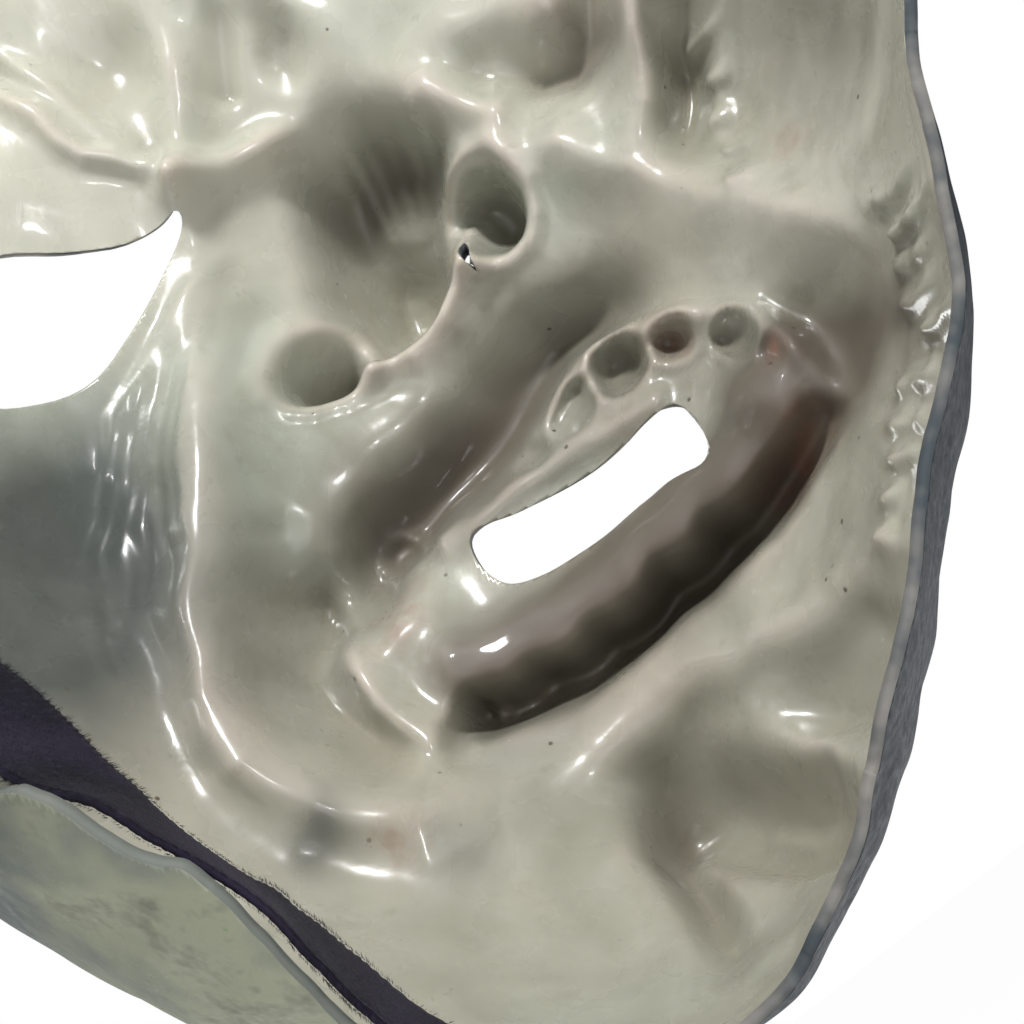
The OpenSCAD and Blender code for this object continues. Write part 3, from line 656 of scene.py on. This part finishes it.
def build_hooks():
    """A woven tape that is covered with small bent nylon hooks."""
    lo = (-HOOK_W / 2, STRAP_T / 2, HOOK_GAP)
    hi = (HOOK_W / 2, STRAP_T / 2 + HOOK_TAPE_T, HOOK_GAP + HOOK_L)
    pts = [np.array([(x, y, z) for x in (lo[0], hi[0]) for y in (lo[1], hi[1])
                     for z in (lo[2], hi[2])])]
    faces = [(0, 1, 3, 2), (4, 6, 7, 5), (0, 4, 5, 1), (2, 3, 7, 6), (0, 2, 6, 4), (1, 5, 7, 3)]
    total = 8
    hook = [(0, 0), (0.02, 0.45), (0.16, 0.72), (0.36, 0.74), (0.46, 0.6)]
    for i, z in enumerate(np.arange(lo[2] + 2.6, hi[2] - 2.2, 0.95)):
        for x in np.arange(lo[0] + 2.4, hi[0] - 2.2, 0.9):
            way = 1 if i % 2 else -1
            x_, z_ = x + rng.normal(0, 0.05), z + rng.normal(0, 0.05)
            for a, b in hook:
                for turn in (0, 2.1, 4.2):
                    pts.append(np.array([(x_ + 0.07 * math.cos(turn),
                                          hi[1] + b + 0.04 * math.sin(turn),
                                          z_ + way * a + 0.05 * math.sin(turn))]))
            for r in range(len(hook) - 1):
                for t in range(3):
                    u = (t + 1) % 3
                    faces.append((total + 3 * r + t, total + 3 * r + u, total + 3 * r + 3 + u,
                                  total + 3 * r + 3 + t))
            total += 3 * len(hook)
    return at_strap_end(np.vstack(pts)) * MM, faces


# ---------------------------------------------------------------- materials

class Nodes:
    """A few shortcuts for building one node material."""

    def __init__(self, name):
        self.mat = bpy.data.materials.new(name)
        self.mat.use_nodes = True
        self.tree = self.mat.node_tree
        self.shader = self.tree.nodes["Principled BSDF"]
        self.coords = self.add("ShaderNodeTexCoord").outputs["Object"]

    def add(self, kind, **values):
        node = self.tree.nodes.new(kind)
        for key, value in values.items():
            setattr(node, key, value)
        return node

    def link(self, a, b):
        self.tree.links.new(a, b)

    def noise(self, scale, detail=3.0, rough=0.55, distort=0.0, at=None):
        node = self.add("ShaderNodeTexNoise")
        node.inputs["Scale"].default_value = scale
        node.inputs["Detail"].default_value = detail
        node.inputs["Roughness"].default_value = rough
        node.inputs["Distortion"].default_value = distort
        self.link(at or self.coords, node.inputs["Vector"])
        return node.outputs["Fac"]

    def ramp(self, value, stops):
        node = self.add("ShaderNodeValToRGB")
        ramp = node.color_ramp
        while len(ramp.elements) < len(stops):
            ramp.elements.new(0.5)
        for element, (at, colour) in zip(ramp.elements, stops):
            element.position = at
            element.color = (*colour, 1)
        self.link(value, node.inputs["Fac"])
        return node.outputs["Color"]

    def range(self, value, low, high, to_low=0.0, to_high=1.0):
        node = self.add("ShaderNodeMapRange")
        for key, v in (("From Min", low), ("From Max", high),
                       ("To Min", to_low), ("To Max", to_high)):
            node.inputs[key].default_value = v
        node.clamp = True
        self.link(value, node.inputs["Value"])
        return node.outputs["Result"]

    def math(self, kind, a, b):
        node = self.add("ShaderNodeMath", operation=kind)
        for k, v in enumerate((a, b)):
            if isinstance(v, (int, float)):
                node.inputs[k].default_value = v
            else:
                self.link(v, node.inputs[k])
        return node.outputs[0]

    def mix(self, share, a, b, blend="MIX"):
        node = self.add("ShaderNodeMix", data_type="RGBA", blend_type=blend)
        for socket, v in ((node.inputs[0], share), (node.inputs[6], a), (node.inputs[7], b)):
            if isinstance(v, (int, float)):
                socket.default_value = v
            elif isinstance(v, tuple):
                socket.default_value = (*v, 1)
            else:
                self.link(v, socket)
        return node.outputs[2]

    def attribute(self, name):
        node = self.add("ShaderNodeAttribute")
        node.attribute_name = name
        return node.outputs["Fac"]

    def bump(self, height, strength, distance, before=None):
        node = self.add("ShaderNodeBump")
        node.inputs["Strength"].default_value = strength
        node.inputs["Distance"].default_value = distance
        self.link(height, node.inputs["Height"])
        if before is not None:
            self.link(before, node.inputs["Normal"])
        return node.outputs["Normal"]

    def finish(self, colour=None, roughness=None, normal=None, **sockets):
        for key, v in (("Base Color", colour), ("Roughness", roughness), ("Normal", normal)):
            if v is None:
                continue
            if isinstance(v, (int, float)):
                self.shader.inputs[key].default_value = v
            elif isinstance(v, tuple):
                self.shader.inputs[key].default_value = (*v, 1)
            else:
                self.link(v, self.shader.inputs[key])
        for key, v in sockets.items():
            self.shader.inputs[key.replace("_", " ")].default_value = v
        return self.mat


def srgb(r, g, b):
    """Linear colour of an 8-bit screen colour."""
    return tuple((c / 255 / 12.92) if c / 255 < 0.04045 else ((c / 255 + 0.055) / 1.055) ** 2.4
                 for c in (r, g, b))


def inside_latex():
    """Glossy grey-green latex: a warmer tint with painted highlight on ridges, painted shade in
    hollows, a painted strap shadow, painted light in the nose, stains and pinholes.
    """
    m = Nodes("latex_inside")
    big = m.noise(14, 3, 0.5, 0.4)
    mid = m.noise(45, 4, 0.6, 0.8)
    fine = m.noise(240, 4, 0.6)
    base = m.ramp(big, [(0.30, srgb(162, 168, 154)), (0.50, srgb(174, 171, 158)),
                        (0.70, srgb(170, 162, 146))])
    base = m.mix(m.range(mid, 0.45, 0.72), base, srgb(152, 152, 137))
    split = m.add("ShaderNodeSeparateXYZ")
    m.link(m.coords, split.inputs[0])
    # lighter towards the forehead and darker towards the chin
    base = m.mix(m.range(split.outputs["Z"], -0.05, 0.01, 0, 0.5), base, srgb(198, 199, 186))
    base = m.mix(m.range(split.outputs["Z"], -0.08, -0.12, 0, 0.5), base, srgb(146, 144, 130))
    relief = m.attribute("relief")
    broad = m.attribute("broad")
    # a warmer tint with painted highlight on small ridges, and painted light on broad raised forms
    base = m.mix(m.range(relief, 0.3, 1.6, 0, 0.22), base, srgb(198, 182, 168))
    base = m.mix(m.range(broad, 0.3, 4, 0, 0.5), base, srgb(204, 190, 180))
    # painted shade in broad and small hollows
    base = m.mix(m.range(broad, -0.2, -4, 0, 0.52), base, srgb(112, 106, 88))
    base = m.mix(m.range(relief, -0.2, -2.2, 0, 0.5), base, srgb(104, 95, 76))
    # painted shade in the mouth, the lip grooves and other hollows
    base = m.mix(m.math("MULTIPLY", m.attribute("painted_shade"), 0.85), base, srgb(74, 64, 54))
    # teal stains, and painted shade on the left cheek
    base = m.mix(m.math("MULTIPLY", m.attribute("teal_stain_and_shade"), 0.85), base, srgb(46, 54, 56))
    # painted shadow of the strap on the edge that curls in
    base = m.mix(m.attribute("rim"), base, srgb(54, 50, 58))
    # painted light on the floor of the nose hollow
    base = m.mix(m.attribute("pale"), base, srgb(186, 180, 164))
    rust = m.math("MULTIPLY", m.attribute("rust"), m.range(fine, 0.3, 0.65))
    base = m.mix(rust, base, srgb(134, 88, 72))
    base = m.mix(m.range(fine, 0.62, 0.8, 0, 0.25), base, srgb(104, 96, 74))
    cells = m.add("ShaderNodeTexVoronoi")
    cells.inputs["Scale"].default_value = 160
    m.link(m.coords, cells.inputs["Vector"])
    speck = m.range(cells.outputs["Distance"], 0.075, 0.045)
    chosen = m.range(m.noise(70, 1), 0.5, 0.55)
    pinholes = m.math("MULTIPLY", m.math("MULTIPLY", speck, chosen), 0.85)
    base = m.mix(pinholes, base, srgb(70, 55, 40))
    rough = m.range(m.noise(90, 3), 0.3, 0.75, 0.20, 0.36)
    rough = m.math("MAXIMUM", rough, m.math("MULTIPLY", m.attribute("painted_shade"), 0.6))
    n = m.bump(m.noise(520, 2), 0.10, 0.0003)
    n = m.bump(mid, 0.25, 0.0012, n)
    return m.finish(base, rough, n, Subsurface_Weight=0.12, Subsurface_Radius=(1.0, 0.8, 0.5),
                    Subsurface_Scale=0.003, Coat_Weight=0.35, Coat_Roughness=0.07, IOR=1.5)


def outside_paint():
    """Slate blue and green paint, brushed over its raised parts and chipped in places, with painted
    shade towards the rim.
    """
    m = Nodes("painted_outside")
    big = m.noise(20, 3, 0.5, 0.5)
    streaks = m.noise(120, 5, 0.7, 1.2)
    fine = m.noise(600, 4, 0.65)
    base = m.ramp(big, [(0.30, srgb(56, 66, 78)), (0.5, srgb(68, 78, 82)),
                        (0.68, srgb(82, 90, 72))])
    base = m.mix(m.range(streaks, 0.42, 0.62, 0, 0.55), base, srgb(36, 42, 48))
    relief = m.attribute("relief")
    base = m.mix(m.range(relief, -0.05, -0.9, 0, 0.8), base, srgb(34, 38, 36))
    raised = m.math("MULTIPLY", m.range(relief, 0.1, 0.9), m.range(fine, 0.4, 0.6))
    base = m.mix(m.math("MULTIPLY", raised, 0.6), base, srgb(124, 132, 126))
    flap = m.mix(m.range(m.noise(38, 3, 0.6), 0.4, 0.6), srgb(100, 106, 102), srgb(142, 144, 122))
    flap = m.mix(m.range(m.noise(75, 4, 0.7), 0.56, 0.7, 0, 0.6), flap, srgb(86, 88, 78))
    split = m.add("ShaderNodeSeparateXYZ")
    m.link(m.coords, split.inputs[0])
    # painted shade: the painted face gets darker towards its rim
    base = m.mix(m.range(split.outputs["Y"], -0.05, -0.015, 0, 0.94), base, srgb(24, 29, 35))
    base = m.mix(on_flap(m), base, flap)
    chips = m.range(m.noise(55, 5, 0.7), 0.66, 0.69)
    base = m.mix(m.math("MULTIPLY", chips, 0.8), base, srgb(112, 132, 92))
    rough = m.range(fine, 0.3, 0.7, 0.38, 0.62)
    n = m.bump(streaks, 0.3, 0.0006, m.bump(fine, 0.25, 0.0002))
    return m.finish(base, rough, n, Specular_IOR_Level=0.22)


def on_flap(m):
    """1 on the jaw edge that curls in, 0 elsewhere."""
    split = m.add("ShaderNodeSeparateXYZ")
    m.link(m.coords, split.inputs[0])
    low = m.math("MULTIPLY", m.range(split.outputs["X"], 0.02, 0.045),
                 m.range(split.outputs["Z"], -0.07, -0.1))
    return m.math("MULTIPLY", low, m.range(split.outputs["Y"], -0.02, 0.012))


def cut_latex():
    """The bare cut edge of the latex."""
    m = Nodes("latex_cut_edge")
    base = m.ramp(m.noise(90, 3), [(0.35, srgb(62, 68, 72)), (0.65, srgb(132, 128, 122))])
    base = m.mix(on_flap(m), base, srgb(104, 108, 102))
    n = m.bump(m.noise(700, 3), 0.4, 0.0002)
    return m.finish(base, 0.75, n, Specular_IOR_Level=0.2)


def webbing_cloth():
    """Nearly black violet webbing."""
    m = Nodes("dark_webbing")
    fine = m.noise(900, 3, 0.7)
    big = m.noise(60, 3)
    base = m.ramp(big, [(0.35, srgb(14, 12, 20)), (0.65, srgb(26, 22, 35))])
    base = m.mix(m.range(m.noise(28, 2), 0.45, 0.7, 0, 0.35), base, srgb(66, 58, 82))
    base = m.mix(m.range(fine, 0.5, 0.75, 0, 0.4), base, srgb(50, 45, 62))
    n = m.bump(fine, 0.6, 0.0003)
    return m.finish(base, 1.0, n, Sheen_Weight=0.03, Sheen_Roughness=0.5,
                    Specular_IOR_Level=0.15)


def plain(name, colour, roughness, metallic=0.0, bump=0.0, other=None):
    """A small part's finish, with a second colour in patches and a fine grain."""
    m = Nodes(name)
    base = colour
    if other is not None:
        base = m.mix(m.range(m.noise(100, 4, 0.6), 0.42, 0.68), colour, other)
    n = m.bump(m.noise(800, 3, 0.6), bump, 0.0002) if bump else None
    return m.finish(base, roughness, n, Metallic=metallic)


def cotton():
    """Cotton cloth with its weave."""
    m = Nodes("cotton_patch")
    bands = [m.add("ShaderNodeTexWave", wave_type="BANDS", bands_direction=d) for d in ("Y", "Z")]
    for w in bands:
        w.inputs["Scale"].default_value = 420
        w.inputs["Distortion"].default_value = 1.5
        m.link(m.coords, w.inputs["Vector"])
    weave = m.math("MULTIPLY", bands[0].outputs["Fac"], bands[1].outputs["Fac"])
    base = m.mix(m.range(m.noise(90, 4), 0.35, 0.7), srgb(186, 178, 152), srgb(150, 142, 118))
    return m.finish(base, 0.85, m.bump(weave, 0.8, 0.0003))


# ---------------------------------------------------------------- the pieces
points, faces, mats, attr = build_shell()
shell = mesh_object("latex_shell_skin", points, faces, mats, attr)
for mat in (inside_latex(), outside_paint(), cut_latex()):
    shell.data.materials.append(mat)
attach(shell, "root")
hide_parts("latex_shell")

strap = mesh_object("strap_webbing", *build_strap())
strap.data.materials.append(webbing_cloth())
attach(strap, "strap")
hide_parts("head_strap")

pile = mesh_object("strap_pile", *build_pile(FIBRES), smooth_shade=False)
pile.data.materials.append(plain("pile_fibres", srgb(38, 34, 48), 0.9))
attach(pile, "strap")

hooks = mesh_object("strap_hooks", *build_hooks(), smooth_shade=False)
hooks.data.materials.append(plain("nylon_hooks", srgb(40, 38, 44), 0.45, bump=0.2))
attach(hooks, "strap")
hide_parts("strap_hook_patch")

brass = plain("brass", srgb(196, 158, 96), 0.28, 1.0, 0.08, other=srgb(128, 98, 62))
steel = plain("nickel_steel", srgb(186, 186, 184), 0.3, 1.0, 0.08, other=srgb(140, 138, 134))
nylon = plain("natural_nylon", srgb(214, 210, 196), 0.45)
thread = plain("dark_thread", srgb(84, 80, 98), 0.8, bump=0.5)
cloth = webbing_cloth()
patch_cloth = cotton()
for name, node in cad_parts.items():
    mat = (brass if "rivet" in name or "eyelet" in name
           else steel if "washer" in name or "ring" == name[-4:]
           else nylon if "spacer" in name
           else patch_cloth if name in ("left_patch", "right_patch")
           else thread if "stitching" in name else cloth)
    node.data.materials.clear()
    node.data.materials.append(mat)

# ---------------------------------------------------------------- camera, floor and lights
CAM_LENS = 84.4
AIM = Vector((8, -75, -77)) * MM
CAM_REACH = 0.375
FLOOR_GAP = 0.03
CAM_BELOW, CAM_ASIDE, CAM_ROLL = math.radians(12), math.radians(-3), math.radians(38)


def camera_axes():
    """The camera's right, up and back directions."""
    back = Vector((math.sin(CAM_ASIDE) * math.cos(CAM_BELOW),
                   math.cos(CAM_ASIDE) * math.cos(CAM_BELOW), -math.sin(CAM_BELOW)))
    right = (-back).cross(Vector((0, 0, 1))).normalized()
    up = right.cross(-back)
    c, s = math.cos(CAM_ROLL), math.sin(CAM_ROLL)
    return right * c - up * s, right * s + up * c, back


def add_camera():
    """The camera looks into the shell from behind, a little from below, and is rolled."""
    right, up, back = camera_axes()
    cam = bpy.data.objects.new("camera", bpy.data.cameras.new("camera"))
    cam.data.lens = CAM_LENS
    cam.data.sensor_width = 36
    cam.data.clip_start = 0.01
    spin = Matrix((right, up, back)).transposed().to_4x4()
    cam.matrix_world = Matrix.Translation(AIM + back * CAM_REACH) @ spin
    bpy.context.scene.collection.objects.link(cam)
    bpy.context.scene.camera = cam


def area_light(name, at, size, power):
    """A rectangular lamp that points at what the camera looks at."""
    light = bpy.data.lights.new(name, "AREA")
    light.shape = "RECTANGLE"
    light.size, light.size_y = size
    light.energy = power
    ob = bpy.data.objects.new(name, light)
    spin = (AIM - at).to_track_quat("-Z", "Y").to_matrix().to_4x4()
    ob.matrix_world = Matrix.Translation(at) @ spin
    bpy.context.scene.collection.objects.link(ob)


def add_lights():
    """A window, a lamp and a fill, and soft light that is stronger from above."""
    right, up, back = camera_axes()
    area_light("window", AIM + back * 0.58 + up * 0.64 - right * 0.3, (0.15, 0.08), 7.8)
    area_light("lamp", AIM + back * 0.8 + right * 0.3 + up * 0.3, (0.07, 0.12), 1.1)
    area_light("front_fill", Vector((0.5, -0.8, 0.35)), (0.6, 0.6), 7)  # for the painted face
    world = bpy.data.worlds.new("studio")
    world.use_nodes = True
    tree = world.node_tree
    seen = tree.nodes["Background"]
    seen.inputs["Color"].default_value = (1, 1, 1, 1)
    seen.inputs["Strength"].default_value = 1.0
    ambient = tree.nodes.new("ShaderNodeBackground")
    ambient.inputs["Color"].default_value = (0.93, 0.97, 1, 1)
    # the soft light comes mostly from above and from the wearer's left
    way = tree.nodes.new("ShaderNodeTexCoord")
    towards = tree.nodes.new("ShaderNodeVectorMath")
    towards.operation = "DOT_PRODUCT"
    towards.inputs[1].default_value = Vector((0.55, 0.35, 0.75)).normalized()
    tree.links.new(way.outputs["Generated"], towards.inputs[0])
    level = tree.nodes.new("ShaderNodeMapRange")
    for key, value in (("From Min", -0.5), ("From Max", 0.95), ("To Min", 0.07), ("To Max", 0.62)):
        level.inputs[key].default_value = value
    tree.links.new(towards.outputs["Value"], level.inputs["Value"])
    tree.links.new(level.outputs["Result"], ambient.inputs["Strength"])
    path = tree.nodes.new("ShaderNodeLightPath")
    pick = tree.nodes.new("ShaderNodeMixShader")
    tree.links.new(path.outputs["Is Camera Ray"], pick.inputs["Fac"])
    tree.links.new(ambient.outputs[0], pick.inputs[1])
    tree.links.new(seen.outputs[0], pick.inputs[2])
    tree.links.new(pick.outputs[0], tree.nodes["World Output"].inputs["Surface"])
    bpy.context.scene.world = world


def add_floor():
    """A pale floor below the free end of the strap, which the camera sees nearly white."""
    low = cad_box[0][2]
    bpy.ops.mesh.primitive_plane_add(size=8, location=(0, 0, low - FLOOR_GAP))
    floor = bpy.context.object
    floor.name = "floor"
    m = Nodes("pale_floor")
    m.finish((0.9, 0.9, 0.9), 0.8)
    glow = m.add("ShaderNodeEmission")
    glow.inputs["Strength"].default_value = 1.0
    pick = m.add("ShaderNodeMixShader")
    share = m.math("MULTIPLY", m.add("ShaderNodeLightPath").outputs["Is Camera Ray"], 0.97)
    m.link(share, pick.inputs["Fac"])
    m.link(m.shader.outputs[0], pick.inputs[1])
    m.link(glow.outputs[0], pick.inputs[2])
    m.link(pick.outputs[0], m.tree.nodes["Material Output"].inputs["Surface"])
    floor.data.materials.append(m.mat)


add_camera()
add_floor()
add_lights()
bpy.context.scene.view_settings.view_transform = "Standard"
